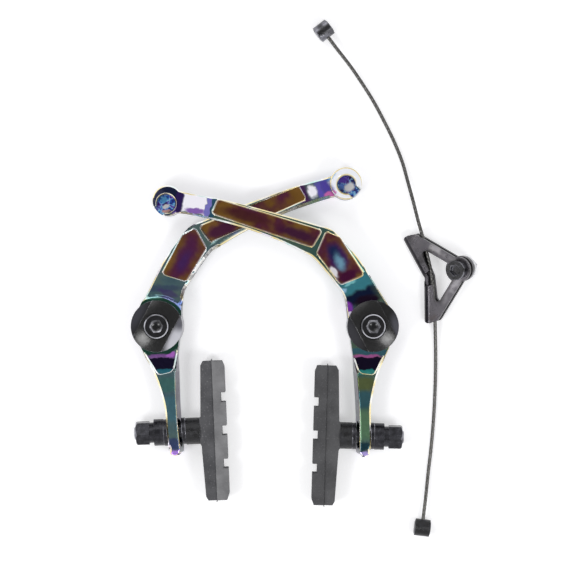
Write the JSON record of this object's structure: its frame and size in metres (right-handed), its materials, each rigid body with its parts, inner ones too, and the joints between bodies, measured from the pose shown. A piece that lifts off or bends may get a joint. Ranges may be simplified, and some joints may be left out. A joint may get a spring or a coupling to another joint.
{
  "type": "u brake",
  "caption": "U brake for a bicycle: two crossed arms with pockets, pads on swivelling posts, spring caps and pivot bolts, with a loose straddle cable and folded cable yoke",
  "frame": {"origin": "midway between the two pivots, in the plane of the hubs' rear faces that lie against the bicycle frame", "axes": "+X to the right in the picture, along the line through both pivots; +Y up, towards the cable tips; +Z away from the bicycle frame, towards the viewer"},
  "size_m": [0.1422, 0.2138, 0.0219],
  "materials": {
    "oil_slick_alloy": "polished alloy with an oil slick coating that runs from teal and slate through gold brown to purple",
    "bronze": "plain sintered bronze",
    "spring_steel": "drawn spring wire",
    "black_cap": "satin black",
    "black_steel": "black oxide with a dull shine",
    "pad_rubber": "matt charcoal rubber",
    "cable_steel": "fine stranded steel",
    "cable_end_black": "dark cast metal",
    "black_sheet": "black coated steel sheet",
    "zinc": "zinc plated"
  },
  "bodies": {
    "frame_side": {"front_pivot_bolt": "black_steel", "rear_pivot_bolt": "black_steel", "front_bolt_washer": "black_steel", "rear_bolt_washer": "black_steel", "straddle_cable": "cable_steel", "upper_cable_end": "cable_end_black", "lower_cable_end": "cable_end_black", "yoke": "black_sheet", "yoke_clamp_bolt": "black_steel", "yoke_clamp_washer": "black_steel", "yoke_clamp_nut": "zinc"},
    "front_arm": {"front_arm": "oil_slick_alloy", "front_bushing": "bronze", "front_inner_dome": "black_steel", "front_outer_dome": "black_steel"},
    "rear_arm": {"rear_arm": "oil_slick_alloy", "rear_bushing": "bronze", "rear_inner_dome": "black_steel", "rear_outer_dome": "black_steel"},
    "front_pad": {"front_pad_rubber": "pad_rubber", "front_pad_post": "black_steel", "front_inner_cup": "black_steel", "front_outer_cup": "black_steel", "front_pad_nut": "black_steel"},
    "rear_pad": {"rear_pad_rubber": "pad_rubber", "rear_pad_post": "black_steel", "rear_inner_cup": "black_steel", "rear_outer_cup": "black_steel", "rear_pad_nut": "black_steel"},
    "front_cap": {"front_spring_cap": "black_cap", "front_return_spring": "spring_steel"},
    "rear_cap": {"rear_spring_cap": "black_cap", "rear_return_spring": "spring_steel"}
  },
  "joints": [
    {"name": "front_arm_pivot", "type": "hinge", "parent": "frame_side", "child": "front_arm", "pos_m": [0.044, 0, 0], "axis": [0, 0, -1], "range_deg": [-18, 10], "stiffness_Nm_per_rad": 0.6, "deforming": ["front_return_spring"]},
    {"name": "rear_arm_pivot", "type": "hinge", "parent": "frame_side", "child": "rear_arm", "pos_m": [-0.044, 0, 0], "axis": [0, 0, 1], "range_deg": [-18, 10], "stiffness_Nm_per_rad": 0.6, "deforming": ["rear_return_spring"]},
    {"name": "front_cap_turn", "type": "hinge", "parent": "frame_side", "child": "front_cap", "pos_m": [0.044, 0, 0], "axis": [0, 0, 1], "range_deg": [-45, 45]},
    {"name": "rear_cap_turn", "type": "hinge", "parent": "frame_side", "child": "rear_cap", "pos_m": [-0.044, 0, 0], "axis": [0, 0, 1], "range_deg": [-45, 45]},
    {"name": "front_pad_swivel", "type": "hinge", "parent": "front_arm", "child": "front_pad", "pos_m": [0.0404, -0.0453, 0.0075], "axis": [0.9996, -0.0279, 0], "range_deg": [0, 90]},
    {"name": "rear_pad_swivel", "type": "hinge", "parent": "rear_arm", "child": "rear_pad", "pos_m": [-0.03707, -0.04354, 0.0075], "axis": [-0.9991, -0.0419, 0], "range_deg": [0, 90]}
  ]
}
